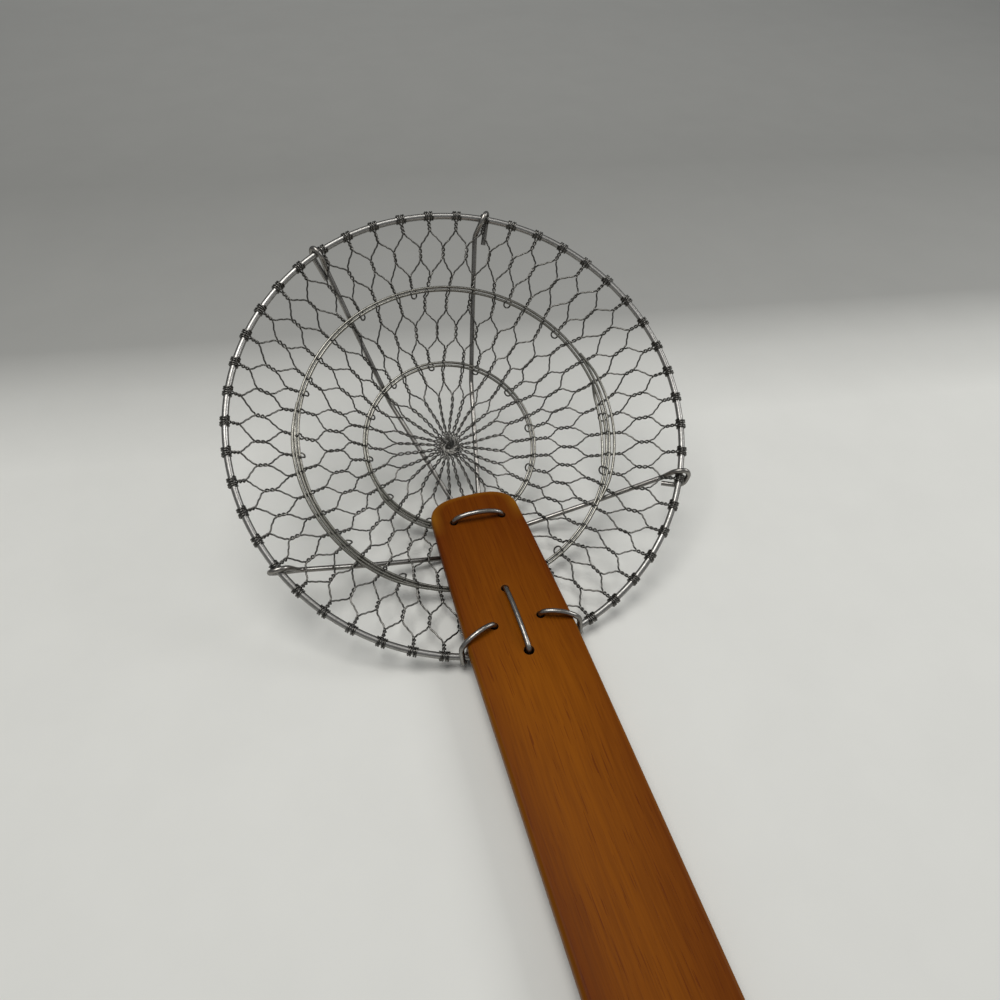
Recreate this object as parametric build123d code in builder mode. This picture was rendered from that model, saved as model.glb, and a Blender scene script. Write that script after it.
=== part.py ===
"""Spider skimmer: a shallow basket of hexagonal wire netting on a flat bamboo handle.

Every size is in millimetres.  The handle lies level along Y, its tip inside the
basket at +Y and its free end at -Y, and Z points up from the surface that the
skimmer lies on.  The basket leans away from the handle, with its open side up and
towards the handle's free end.  The origin is on that surface, in the middle of the
whole length.
"""

import os
from math import asin, atan2, cos, degrees, hypot, pi, radians, sin, tan

from build123d import *

os.makedirs("parts", exist_ok=True)

# Wires
rim_wire = 2.5
hoop_wire = 1.1
support_wire = 2.0
net_wire = 0.52
seat_gap = 0.1
hook_gap = 0.1

# Bowl: radii from the basket's axis and depths under the rim's plane
basket_diameter = 178.0
outer_hoop_radius = 62.8
outer_hoop_depth = 16.4
inner_hoop_radius = 35.6
inner_hoop_depth = 33.0
floor_radius = 25.0
floor_depth = 36.0
hub_knot_radius = 4.4
hub_knot_height = 1.7
hub_eye_radius = 0.9

# Netting
outer_columns = 48
middle_columns = 36
inner_columns = 24
net_thickness = 0.8
wrap_length = 4.0

# Handle
handle_width = 40.6
tip_width = 37.4
handle_thickness = 5.5
handle_past_rim = 212.0
tip_inside_rim = 73.0
tip_corner = 8.0
tip_crown = 1.6
end_corner = 13.0
edge_chamfer = 0.7
hang_hole_radius = 3.5
hang_hole_inset = 15.0
wire_hole_radius = 1.6
stitch_hole_radius = 1.95

# Wire holes: distances along the handle from where it crosses the rim, and spacings
staple_inside = 60.0
staple_spacing = 20.2
stitch_inside = 22.6
stitch_outside = 5.6
binding_inside = 7.2
binding_spacing = 17.6

# Heights of the wires' centre lines over the handle's face
staple_rise = 2.8
stitch_rise = 2.4
binding_rise = 4.4

# Support wires
hook_tail = 9.5
hook_pitch = 2.2
hook_slot = 5.2
side_wire_reach = 42.0
side_loop = 3.7
leg_spread = 5.0
binding_tail = 8.0
tail_length = 5.5
largest_bend = 3.2
binding_gap = 0.8
binding_loop = 2.7

# Directions round the basket, in degrees from the handle, right positive
far_hook_left = -151.2
far_hook_right = 165.2
side_rise_left = -58.8
side_over_left = -61.2
side_below_left = -60.9
side_rise_right = 60.8
side_over_right = 66.4
side_below_right = 60.0

# Shares of each zone's width, from its outer ring inwards, where the rows of twisted
# pairs begin and end
outer_row_shares = ((0, 0.20), (0.35, 0.56), (0.75, 1))
middle_row_shares = ((0, 0.27), (0.43, 0.61), (0.76, 1))
inner_row_shares = ((0, 0.20), (0.34, 1))

# Sides of the rings and of the bent wires, and the cut that makes a square section an
# octagon
ring_sides = outer_columns
wire_sides = 8
octagon_corner_share = 1 - 1 / 2**0.5

# Direction of the handle in the basket's plane, and the share that cuts run past an edge
handle_bearing = -90
beyond_share = 0.1

# Worked out from the sizes above
rim_radius = (basket_diameter - rim_wire) / 2
twist_width = 2 * net_wire
bowl_profile = (
    (rim_radius, 0),
    (outer_hoop_radius, outer_hoop_depth),
    (inner_hoop_radius, inner_hoop_depth),
    (floor_radius, floor_depth),
    (0, floor_depth),
)


def depth_at(radius):
    """Depth of the netting's middle surface under the rim's plane."""
    for (outer, outer_depth), (inner, inner_depth) in zip(bowl_profile, bowl_profile[1:]):
        if radius >= inner:
            break
    return outer_depth + (inner_depth - outer_depth) * (outer - radius) / (outer - inner)


bowl_slope = atan2(outer_hoop_depth, rim_radius - outer_hoop_radius)
skin_height = net_thickness / cos(bowl_slope)
under_gap = net_thickness / 2 + seat_gap + support_wire / 2
hoop_gap = net_thickness / 2 + seat_gap + hoop_wire / 2



def edge_rise(radius, across):
    """How far a ring has curved away from the handle's end where it is that far across."""
    return radius - (radius**2 - across**2) ** 0.5


# The handle's side edges seat on the net's wraps at the rim and on the hoop that they meet
# first, and all of these curve up towards them
rim_curve = edge_rise(rim_radius, handle_width / 2)
rim_seat = rim_wire / 2 + net_wire + 2 * seat_gap
hoop_seat = hoop_gap + hoop_wire / 2 + seat_gap
hoop_leans = []
for radius, depth, width in (
    (outer_hoop_radius, outer_hoop_depth, handle_width),
    (inner_hoop_radius, inner_hoop_depth, tip_width),
):
    seat_run = rim_radius - rim_curve - radius + edge_rise(radius, width / 2)
    seat_turn = asin((hoop_seat - rim_seat) / hypot(seat_run, depth))
    hoop_leans.append(atan2(depth, seat_run) - seat_turn)
lean = min(hoop_leans)

# The skimmer lies on the stitch under the rim and on the side wire under the net
net_sag = depth_at(side_wire_reach) * cos(lean) - (rim_radius - side_wire_reach) * sin(lean)
stitch_seat = support_wire + seat_gap + rim_wire / 2
net_seat_height = support_wire / 2 + under_gap + net_sag
rim_height = max(stitch_seat, net_seat_height)
underside = rim_height + rim_curve * sin(lean) + rim_seat
face_height = underside + handle_thickness
far_reach = 2 * rim_radius * cos(lean) + rim_wire / 2 + net_wire
crossing_y = (handle_past_rim - far_reach) / 2

basket = Plane(
    origin=(0, crossing_y + rim_radius * cos(lean), rim_height + rim_radius * sin(lean)),
    x_dir=(1, 0, 0),
    z_dir=(0, -sin(lean), cos(lean)),
)
basket_axis = Axis(basket.origin, basket.z_dir)


def on_basket(across, inward, height):
    """Point of the basket, by distances right of its axis and away from the handle."""
    return basket.from_local_coords(Vector(across, inward, height))


def round_basket(radius, direction, height):
    """Point of the basket, by its radius and its direction from the handle."""
    turn = radians(direction)
    return on_basket(radius * sin(turn), -radius * cos(turn), height)


def on_handle(across, outward, height):
    """Point by its distance right of the handle's middle, past the rim, and height."""
    return Vector(across, crossing_y - outward, height)


def bent_wire(name, points):
    """Piece of support wire along straight runs, its bends as large as the runs allow.

    Each bend is cut into two mitred corners, whose short run touches the bend's arc.
    """
    run_share = 0.45
    radii = []
    route = [points[0]]
    for before, corner, after in zip(points, points[1:], points[2:]):
        here = (corner - before).normalized()
        there = (after - corner).normalized()
        turn = radians(here.get_angle(there))
        shorter = min((corner - before).length, (after - corner).length)
        radius = min(largest_bend, run_share * shorter / tan(turn / 2))
        reach = radius * (tan(turn / 2) - tan(turn / 4))
        route += [corner - here * reach, corner + there * reach]
        radii.append(radius)
    route.append(points[-1])
    with BuildPart() as wire:
        with BuildLine() as path:
            Polyline(*route)
        with BuildSketch(Plane(path.line @ 0, z_dir=path.line % 0)):
            RegularPolygon(support_wire / 2, wire_sides)
        sweep(transition=Transition.RIGHT)
    wire.part.label = name
    export_step(wire.part, f"parts/{name}.step")
    print(name, "least bend radius", round(min(radii), 2), "length", round(path.wire().length, 1))


def wire_ring(name, radius, height, wire):
    """Closed ring of wire round the basket's axis, of an octagonal section."""
    with BuildPart() as ring:
        with BuildSketch(basket.offset(height - wire / 2)):
            RegularPolygon(radius + wire / 2, ring_sides, major_radius=False)
            RegularPolygon(radius - wire / 2, ring_sides, major_radius=False, mode=Mode.SUBTRACT)
        extrude(amount=wire)
        long_edges = ring.edges().filter_by(basket_axis, reverse=True)
        chamfer(long_edges, length=wire * octagon_corner_share)
    ring.part.label = name
    export_step(ring.part, f"parts/{name}.step")


def inset_polygon(corners, insets):
    """Corners of the polygon whose sides lie inside the given one's by the insets."""
    sides = []
    for here, there, inset in zip(corners, corners[1:] + corners[:1], insets):
        run = (there - here).normalized()
        sides.append((here + Vector(-run.Y, run.X) * inset, run))
    points = []
    for (start, run), (other, across) in zip(sides[-1:] + sides[:-1], sides):
        reach = (other - start).cross(across).Z / run.cross(across).Z
        points.append(start + run * reach)
    return [(point.X, point.Y) for point in points]


def net_gap(outer, inner, columns, rows, index):
    """Outline of one gap of a row, its middle on the X axis, between the wires' sides."""

    def corner(side, share):
        radius = outer + (inner - outer) * share
        turn = side * pi / columns
        return Vector(radius * cos(turn), radius * sin(turn))

    begin, end = rows[index]
    twist = twist_width / 2
    single = net_wire / 2
    if index == 0:
        corners = [corner(-1, -beyond_share), corner(1, -beyond_share)]
        insets = [0, twist]
    else:
        above = rows[index - 1][1]
        corners = [corner(-1, begin), corner(0, above), corner(1, begin)]
        insets = [single, single, twist]
    if index + 1 < len(rows):
        below = rows[index + 1][0]
        corners += [corner(1, end), corner(0, below), corner(-1, end)]
        insets += [single, single, twist]
    elif inner > 0:
        corners += [corner(1, end + beyond_share), corner(-1, end + beyond_share)]
        insets += [0, twist]
    else:
        corners += [corner(0, end)]
        insets += [twist]
    return inset_polygon(corners, insets)


def cut_zone(outer, inner, columns, rows, first_side):
    """Cut a zone's gaps from the sketch in hand, row by row."""
    pitch = 360 / columns
    for index in range(len(rows)):
        outline = net_gap(outer, inner, columns, rows, index)
        middle = handle_bearing + pitch * (first_side + (index + 1) % 2) / 2
        with PolarLocations(0, columns, start_angle=middle):
            Polygon(*outline, align=None, mode=Mode.SUBTRACT)


def bowl_block(outer, inner, columns, lift):
    """Solid inside a zone's flat sides, two to a column, lifted off the bowl by a height."""
    beyond = (outer - inner) * beyond_share
    fall = (depth_at(inner) - depth_at(outer)) * beyond_share
    sides = 2 * columns
    upper, lower = (
        [round_basket(radius, side * 360 / sides, lift - depth) for side in range(sides)]
        for radius, depth in (
            (outer + beyond, depth_at(outer) - fall),
            (inner - beyond, depth_at(inner) + fall),
        )
    )
    faces = [Face(Wire.make_polygon(ring)) for ring in (upper, lower)]
    for side in range(-1, sides - 1):
        corners = [upper[side], upper[side + 1], lower[side + 1], lower[side]]
        faces.append(Face(Wire.make_polygon(corners)))
    return Solid(Shell(faces))


def net_skin(outer, inner, columns):
    """Keep of the part in hand only the thin skin that follows the bowl."""
    add(bowl_block(outer, inner, columns, -skin_height / 2), mode=Mode.INTERSECT)
    add(bowl_block(outer, inner, columns, skin_height / 2), mode=Mode.SUBTRACT)


def net_ring(radius, columns, mode=Mode.ADD):
    """Outline of the netting's edge, with a corner at each column of either row."""
    RegularPolygon(radius, 2 * columns, rotation=handle_bearing, mode=mode)


# Handle
handle_end = crossing_y - handle_past_rim
handle_tip = crossing_y + tip_inside_rim
shoulder_y = handle_tip - tip_crown
with BuildPart() as handle:
    with BuildSketch(Plane.XY.offset(underside)) as outline:
        with BuildLine():
            Polyline(
                (tip_width / 2, shoulder_y),
                (handle_width / 2, crossing_y),
                (handle_width / 2, handle_end),
                (-handle_width / 2, handle_end),
                (-handle_width / 2, crossing_y),
                (-tip_width / 2, shoulder_y),
            )
            ThreePointArc((-tip_width / 2, shoulder_y), (0, handle_tip), (tip_width / 2, shoulder_y))
        make_face()
        fillet(outline.vertices().group_by(Axis.Y)[0], radius=end_corner)
        fillet(outline.vertices().group_by(Axis.Y)[-1], radius=tip_corner)
    extrude(amount=handle_thickness)
    sharp_edges = handle.faces().filter_by(Axis.Z).edges()
    chamfer(sharp_edges, length=edge_chamfer)
    with BuildSketch(Plane.XY.offset(underside)):
        with Locations((0, handle_end + hang_hole_inset)):
            Circle(hang_hole_radius)
        with Locations((0, crossing_y - stitch_outside)):
            Circle(stitch_hole_radius)
        with Locations((0, crossing_y + stitch_inside)):
            Circle(wire_hole_radius)
        with Locations((0, crossing_y + staple_inside)):
            with GridLocations(staple_spacing, 0, 2, 1):
                Circle(wire_hole_radius)
        with Locations((0, crossing_y + binding_inside)):
            with GridLocations(binding_spacing, 0, 2, 1):
                Circle(wire_hole_radius)
    extrude(amount=handle_thickness, mode=Mode.SUBTRACT)
handle.part.label = "handle"
export_step(handle.part, "parts/handle.step")

# Rim
wire_ring("rim_wire", rim_radius, 0, rim_wire)

# Hoops: two strands side by side along the handle's underside, on top of the netting
strand_step = (hoop_wire + seat_gap) / 2
for hoop, radius in (("outer_hoop", outer_hoop_radius), ("inner_hoop", inner_hoop_radius)):
    seat_radius = radius + strand_step
    middle_radius = seat_radius - hoop_gap * sin(lean)
    middle_height = hoop_gap * cos(lean) - depth_at(seat_radius)
    for strand, side in (("upper_strand", 1), ("lower_strand", -1)):
        strand_radius = middle_radius + side * strand_step * cos(lean)
        strand_height = middle_height + side * strand_step * sin(lean)
        wire_ring(f"{hoop}_{strand}", strand_radius, strand_height, hoop_wire)

# Outer zone of the netting, whose pairs are wound round the rim
wrap_flat = rim_wire / 2 + seat_gap
wrap_turn = degrees(pi / wire_sides + bowl_slope)
wrap_overlap_share = 0.2
wrap_inset = (wrap_flat + net_wire * wrap_overlap_share) * cos(bowl_slope)
wrap_reach = rim_radius - wrap_inset - net_thickness / 2 * sin(bowl_slope)
column_turn = 360 / outer_columns
with BuildPart() as net_outer:
    with BuildSketch(basket.offset(-inner_hoop_depth)):
        net_ring(wrap_reach, outer_columns)
        net_ring(outer_hoop_radius + seat_gap / 2, outer_columns, mode=Mode.SUBTRACT)
        cut_zone(rim_radius, outer_hoop_radius, outer_columns, outer_row_shares, 1)
    extrude(amount=inner_hoop_depth)
    net_skin(rim_radius, outer_hoop_radius, outer_columns)
    wrap_planes = []
    for column in range(outer_columns):
        direction = (column + 1 / 2) * column_turn
        centre = round_basket(rim_radius, direction, 0)
        outward = centre - basket.origin
        wrap_planes.append(Plane(centre, x_dir=outward, z_dir=outward.cross(basket.z_dir)))
    with BuildSketch(*wrap_planes):
        RegularPolygon(wrap_flat + net_wire, wire_sides, major_radius=False, rotation=wrap_turn)
        RegularPolygon(
            wrap_flat, wire_sides, major_radius=False, rotation=wrap_turn, mode=Mode.SUBTRACT
        )
    extrude(amount=wrap_length / 2, both=True)
net_outer.part.label = "net_outer"
export_step(net_outer.part, "parts/net_outer.step")

# Middle zone of the netting, between the hoops
with BuildPart() as net_middle:
    with BuildSketch(basket.offset(-floor_depth)):
        net_ring(outer_hoop_radius - seat_gap / 2, middle_columns)
        net_ring(inner_hoop_radius + seat_gap / 2, middle_columns, mode=Mode.SUBTRACT)
        cut_zone(outer_hoop_radius, inner_hoop_radius, middle_columns, middle_row_shares, 0)
    extrude(amount=floor_depth)
    net_skin(outer_hoop_radius, inner_hoop_radius, middle_columns)
net_middle.part.label = "net_middle"
export_step(net_middle.part, "parts/net_middle.step")

# Inner zone of the netting, whose pairs run together in a knot at the hub
with BuildPart() as net_centre:
    with BuildSketch(basket.offset(-2 * floor_depth)):
        net_ring(inner_hoop_radius - seat_gap / 2, inner_columns)
        cut_zone(inner_hoop_radius, 0, inner_columns, inner_row_shares, 1)
    extrude(amount=2 * floor_depth)
    net_skin(inner_hoop_radius, floor_radius, inner_columns)
    with BuildSketch(basket.offset(-floor_depth - hub_knot_height / 2)):
        Circle(hub_knot_radius)
    extrude(amount=hub_knot_height)
    with BuildSketch(basket.offset(-floor_depth - hub_knot_height)):
        Circle(hub_eye_radius)
    extrude(amount=2 * hub_knot_height, mode=Mode.SUBTRACT)
net_centre.part.label = "net_centre"
export_step(net_centre.part, "parts/net_centre.step")


def net_seat(across, inward):
    """Height in the basket of a support wire's centre that lies against the net."""
    return -depth_at(hypot(across, inward)) - under_gap / cos(bowl_slope)


def plan_point(radius, direction):
    """Point of the rim's plane, by its radius and its direction from the handle."""
    turn = radians(direction)
    return Vector(radius * sin(turn), -radius * cos(turn))


def hook_corners(rise, over, below, loop):
    """Corners of a hook round the rim, from its cut tail to where it dips into the net.

    The directions are those of the leg where it comes up through the net, of the wire
    where it passes over the rim, and of the tail under it.
    """
    outside = rim_radius + loop
    tail_radius = outside - hook_tail
    tail = plan_point(tail_radius, below)
    inside = plan_point(rim_radius - loop, (rise + over) / 2)
    return [
        round_basket(tail_radius, below, net_seat(tail.X, tail.Y)),
        round_basket(outside, below, -loop),
        round_basket(outside, over, loop),
        on_basket(inside.X, inside.Y, loop),
    ]


def leg_corners(start, finish, touch_shares, level):
    """Corners of a leg, straight in plan, whose runs touch the net from below.

    The last run is level in the basket, and the leg's end is left to what follows it.
    """
    run = finish - start
    probe_share = 0.001
    lines = []
    for share in touch_shares:
        near, here, far = (
            net_seat((start + run * place).X, (start + run * place).Y)
            for place in (share - probe_share, share, share + probe_share)
        )
        slope = (far - near) / (2 * probe_share)
        lines.append((here - slope * share, slope))
    lines.append((level, 0))
    corners = [on_basket(start.X, start.Y, lines[0][0])]
    for (height, slope), (next_height, next_slope) in zip(lines, lines[1:]):
        share = (next_height - height) / (slope - next_slope)
        spot = start + run * share
        corners.append(on_basket(spot.X, spot.Y, height + slope * share))
    return corners


# Far support wire: two legs from hooks on the far rim, joined by the staple over the tip
hook_loop = rim_wire / 2 + hook_gap + support_wire / 2
slot_radius = rim_radius - hook_slot
pitch_turn = degrees(hook_pitch / rim_radius)
floor_level = net_seat(floor_radius, 0)
foot_height = support_wire / 2
far_leg_shares = (0.1, 0.36)
far_sides = []
for side, direction in ((-1, far_hook_left), (1, far_hook_right)):
    below = direction - side * pitch_turn
    foot = Vector(side * leg_spread, -floor_radius)
    leg = leg_corners(plan_point(slot_radius, direction), foot, far_leg_shares, floor_level)
    far_sides.append(
        hook_corners(direction, direction, below, hook_loop)
        + leg
        + [
            on_basket(foot.X, foot.Y, floor_level),
            on_handle(side * staple_spacing / 2, -staple_inside, foot_height),
            on_handle(side * staple_spacing / 2, -staple_inside, face_height + staple_rise / 3),
            on_handle(side * staple_spacing / 6, -staple_inside, face_height + staple_rise),
        ]
    )
bent_wire("far_support_wire", far_sides[0] + far_sides[1][::-1])

# Side support wire: one wire under the net and the handle, level where it lies on the
# surface, with a hook on each side of the rim
level_height = (support_wire / 2 - rim_height - (rim_radius - side_wire_reach) * sin(lean)) / cos(lean)
level_half = side_wire_reach / 4
side_leg_shares = (0.2, 0.66)
left_leg = leg_corners(
    plan_point(slot_radius, side_rise_left),
    Vector(-level_half, -side_wire_reach),
    side_leg_shares,
    level_height,
)
right_leg = leg_corners(
    plan_point(slot_radius, side_rise_right),
    Vector(level_half, -side_wire_reach),
    side_leg_shares,
    level_height,
)
left_hook = hook_corners(side_rise_left, side_over_left, side_below_left, hook_loop)
right_hook = hook_corners(side_rise_right, side_over_right, side_below_right, side_loop)
bent_wire("side_support_wire", left_hook + left_leg + right_leg[::-1] + right_hook[::-1])

# Stitch through the handle's middle, over its face and under the rim
surface_height = support_wire / 2
stitch_middle = (stitch_inside - stitch_outside) / 2
bent_wire(
    "centre_stitch",
    [
        on_handle(0, -tail_length, surface_height),
        on_handle(0, stitch_outside, surface_height),
        on_handle(0, stitch_outside, face_height + stitch_rise / 2),
        on_handle(0, -stitch_middle, face_height + stitch_rise),
        on_handle(0, -stitch_inside, face_height + stitch_rise / 2),
        on_handle(0, -stitch_inside, surface_height),
        on_handle(0, -stitch_inside + tail_length, surface_height),
    ],
)

# Bindings: from a hole over the handle's face and edge, round the rim and under it
hole_across = binding_spacing / 2
edge_across = handle_width / 2 + support_wire / 2 + binding_gap
edge_curve = edge_rise(rim_radius, edge_across)
rim_level = rim_height + edge_curve * sin(lean)
outside = binding_loop / cos(lean) - edge_curve * cos(lean)
for side, name in ((-1, "rim_binding_left"), (1, "rim_binding_right")):
    bent_wire(
        name,
        [
            on_handle(side * (hole_across - tail_length), -binding_inside, surface_height),
            on_handle(side * hole_across, -binding_inside, surface_height),
            on_handle(side * hole_across, -binding_inside, face_height + binding_rise / 2),
            on_handle(side * (hole_across + edge_across) / 2, -binding_inside, face_height + binding_rise),
            on_handle(side * edge_across, -binding_inside + hook_loop, face_height + binding_rise / 3),
            on_handle(side * edge_across, outside, rim_level),
            on_handle(side * edge_across, outside, surface_height),
            on_handle(side * edge_across, outside - binding_tail, surface_height),
        ],
    )
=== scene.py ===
"""Spider skimmer, dressed: bright wire basket on a caramel bamboo handle.

Lengths in the classes below are in millimetres, as a maker would give them, and
`MM` turns them into the metres that the scene is built in.  Places in the basket
are given by their radius from its axis, their bearing in degrees from the handle
(right positive) and their lift off the netting's middle surface.
"""

import logging
import math
import random
from dataclasses import dataclass
from enum import Enum
from functools import cache
from typing import Union

import bmesh
import bpy
from mathutils import Euler, Matrix, Vector


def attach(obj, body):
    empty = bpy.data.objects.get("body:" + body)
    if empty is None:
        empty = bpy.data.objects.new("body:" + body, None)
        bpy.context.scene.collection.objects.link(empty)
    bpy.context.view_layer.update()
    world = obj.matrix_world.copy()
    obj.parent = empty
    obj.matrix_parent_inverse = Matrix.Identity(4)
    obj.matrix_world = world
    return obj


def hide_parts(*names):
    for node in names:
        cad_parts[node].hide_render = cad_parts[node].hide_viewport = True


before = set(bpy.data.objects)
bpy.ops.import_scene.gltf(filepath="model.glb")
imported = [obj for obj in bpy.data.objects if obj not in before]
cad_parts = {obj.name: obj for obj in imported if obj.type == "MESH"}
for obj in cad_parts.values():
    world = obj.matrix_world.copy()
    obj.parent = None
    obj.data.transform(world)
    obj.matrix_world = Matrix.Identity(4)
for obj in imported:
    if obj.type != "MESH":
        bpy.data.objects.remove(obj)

MM = 0.001
BODY = "root"

# Radius of the rim, and radius and depth under it of the two hoops
RIM_RADIUS = 87.75
OUTER_HOOP = (62.8, 16.4)
INNER_HOOP = (35.6, 33.0)

Socket = bpy.types.NodeSocket
Sockets = bpy.types.bpy_prop_collection
Feed = Union[Socket, float, tuple]
Triple = tuple[float, float, float]
Colour = Triple
Route = list[Vector]
log = logging.getLogger("skimmer")


class Side(Enum):
    """Sides of the handle, seen from above with the basket away from the viewer."""

    LEFT = -1
    RIGHT = 1


class Slot(Enum):
    """Material slots of the record."""

    STEEL = "steel"
    BAMBOO = "bamboo"


# Shader nodes


@dataclass(frozen=True)
class Nodes:
    """The nodes of one shader tree, with short ways to add more."""

    tree: bpy.types.NodeTree

    def feed(self, sockets: Sockets, values: dict[Union[str, int], Feed]) -> None:
        """Link values to a node's inputs, or set the inputs where a value is plain.

        Args:
            sockets: The node's inputs.
            values: Socket, number or colour for each input, by its name or place.
        """
        for label, value in values.items():
            socket = sockets[label]
            if isinstance(value, Socket):
                self.tree.links.new(value, socket)
            else:
                socket.default_value = (*value, 1.0) if socket.type == "RGBA" else value

    def add(self, kind: str, values: dict[Union[str, int], Feed], **settings: object) -> bpy.types.Node:
        """Add a node.

        Args:
            kind: Its type, less the word ShaderNode.
            values: Socket, number or colour for each input, by its name or place.
            **settings: Its other properties.

        Returns:
            The node.
        """
        node = self.tree.nodes.new("ShaderNode" + kind)
        for label, setting in settings.items():
            setattr(node, label, setting)
        self.feed(node.inputs, values)
        return node

    def calc(self, operation: str, *values: Feed) -> Socket:
        """Return the outcome of an operation on sockets or numbers, in their order."""
        return self.add("Math", dict(enumerate(values)), operation=operation).outputs[0]

    def ramp(self, factor: Socket, stops: list[tuple[float, Colour]]) -> Socket:
        """Add a colour ramp.

        Args:
            factor: Socket that drives the ramp.
            stops: Places along the ramp, each with its colour.

        Returns:
            The ramp's colour socket.
        """
        node = self.add("ValToRGB", {"Fac": factor})
        elements = node.color_ramp.elements
        while len(elements) < len(stops):
            elements.new(0.5)
        for element, (place, colour) in zip(elements, stops):
            element.position = place
            element.color = (*colour, 1.0)
        return node.outputs["Color"]

    def mix(self, share: Feed, first: Feed, second: Feed, blend: str = "MIX") -> Socket:
        """Mix two colours.

        Args:
            share: Socket or number for the share of the second colour.
            first: Socket or colour.
            second: Socket or colour.
            blend: How they are mixed.

        Returns:
            The colour socket of the mix.
        """
        share_place, first_place, second_place, mixed_place = 0, 6, 7, 2
        values = {share_place: share, first_place: first, second_place: second}
        node = self.add("Mix", values, data_type="RGBA", blend_type=blend, clamp_factor=True)
        return node.outputs[mixed_place]

    def noise(self, place: Socket, scale: Feed, detail: float, roughness: float = 0.5) -> Socket:
        """Return the value of a noise texture."""
        values = {"Vector": place, "Scale": scale, "Detail": detail, "Roughness": roughness}
        return self.add("TexNoise", values).outputs["Fac"]

    def place(self, stretch: Triple = (1.0, 1.0, 1.0)) -> Socket:
        """Return object coordinates, stretched along the axes."""
        place = self.add("TexCoord", {}).outputs["Object"]
        return self.add("Mapping", {"Vector": place, "Scale": stretch}).outputs["Vector"]

    def rise(self, value: Socket, start: float, finish: float, top: float = 1.0) -> Socket:
        """Return a number that goes from 0 to its top between two values."""
        values = {"Value": value, "From Min": start, "From Max": finish, "To Max": top}
        return self.add("MapRange", values).outputs[0]

    def bump(self, height: Socket, depth: float, strength: float) -> Socket:
        """Return normals bumped by a height, as deep as given in millimetres."""
        values = {"Height": height, "Distance": depth * MM, "Strength": strength}
        return self.add("Bump", values).outputs["Normal"]


def new_group(
    name: str, inputs: tuple[str, ...], outputs: tuple[str, ...],
) -> tuple[Nodes, Sockets, Sockets]:
    """Start a node group of plain numbers.

    Args:
        name: Name of the group.
        inputs: Names of its inputs.
        outputs: Names of its outputs.

    Returns:
        The group's nodes, the sockets that its inputs come from and those for its outputs.
    """
    tree = bpy.data.node_groups.new(name, "ShaderNodeTree")
    for labels, end in ((inputs, "INPUT"), (outputs, "OUTPUT")):
        for label in labels:
            tree.interface.new_socket(label, in_out=end, socket_type="NodeSocketFloat")
    source = tree.nodes.new("NodeGroupInput")
    target = tree.nodes.new("NodeGroupOutput")
    return Nodes(tree), source.outputs, target.inputs


@cache
def tarnish_group() -> bpy.types.NodeTree:
    """Build the group that clouds and scratches bright wire.

    Returns:
        Group whose outputs are a mask of dull places, a roughness and a height.
    """
    labels = ("Cloud Scale", "Draw Scale", "Gloss", "Dullness")
    nodes, source, target = new_group("wire_tarnish", labels, ("Mask", "Roughness", "Height"))
    place = nodes.place()
    cloud = nodes.noise(place, source["Cloud Scale"], detail=4.0, roughness=0.6)
    draw = nodes.noise(place, source["Draw Scale"], detail=2.0, roughness=0.7)
    mask = nodes.calc("MULTIPLY", cloud, draw)
    dull = nodes.calc("MULTIPLY", mask, source["Dullness"])
    rough = nodes.calc("ADD", source["Gloss"], dull)
    nodes.feed(target, {"Mask": mask, "Roughness": rough, "Height": draw})
    return nodes.tree


@cache
def grain_group() -> bpy.types.NodeTree:
    """Build the group that draws the fibres of split bamboo along Y.

    Returns:
        Group whose outputs are broad bands, fine fibres, dark pores and a height.
    """
    drift_scale, sway_depth, lengthening = 14.0, 0.004, 0.03
    pore_scale, pore_level, pore_depth = 1.7, 0.69, 0.4
    labels = ("Bands", "Fibres", "Pores", "Height")
    nodes, source, target = new_group("bamboo_grain", ("Band Scale", "Fibre Scale"), labels)
    drift = nodes.noise(nodes.place(), drift_scale, detail=2.0)
    sway = nodes.calc("MULTIPLY", nodes.calc("SUBTRACT", drift, 0.5), sway_depth)
    aside = nodes.add("CombineXYZ", {"X": sway}).outputs[0]
    lengthwise = nodes.place((1.0, lengthening, 1.0))
    place = nodes.add("VectorMath", {0: lengthwise, 1: aside}, operation="ADD").outputs[0]
    bands = nodes.noise(place, source["Band Scale"], detail=3.0, roughness=0.55)
    fibres = nodes.noise(place, source["Fibre Scale"], detail=3.0, roughness=0.65)
    fine = nodes.calc("MULTIPLY", source["Fibre Scale"], pore_scale)
    pores = nodes.calc("GREATER_THAN", nodes.noise(place, fine, detail=1.0, roughness=0.4), pore_level)
    height = nodes.calc("SUBTRACT", fibres, nodes.calc("MULTIPLY", pores, pore_depth))
    nodes.feed(target, {"Bands": bands, "Fibres": fibres, "Pores": pores, "Height": height})
    return nodes.tree


def new_material(name: str) -> tuple[bpy.types.Material, Nodes, Sockets]:
    """Start a plain node material.

    Args:
        name: Name of the material.

    Returns:
        The material, its nodes and the inputs of its Principled shader.
    """
    material = bpy.data.materials.new(name)
    material.use_nodes = True
    tree = material.node_tree
    return material, Nodes(tree), tree.nodes["Principled BSDF"].inputs


# Finishes


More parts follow.
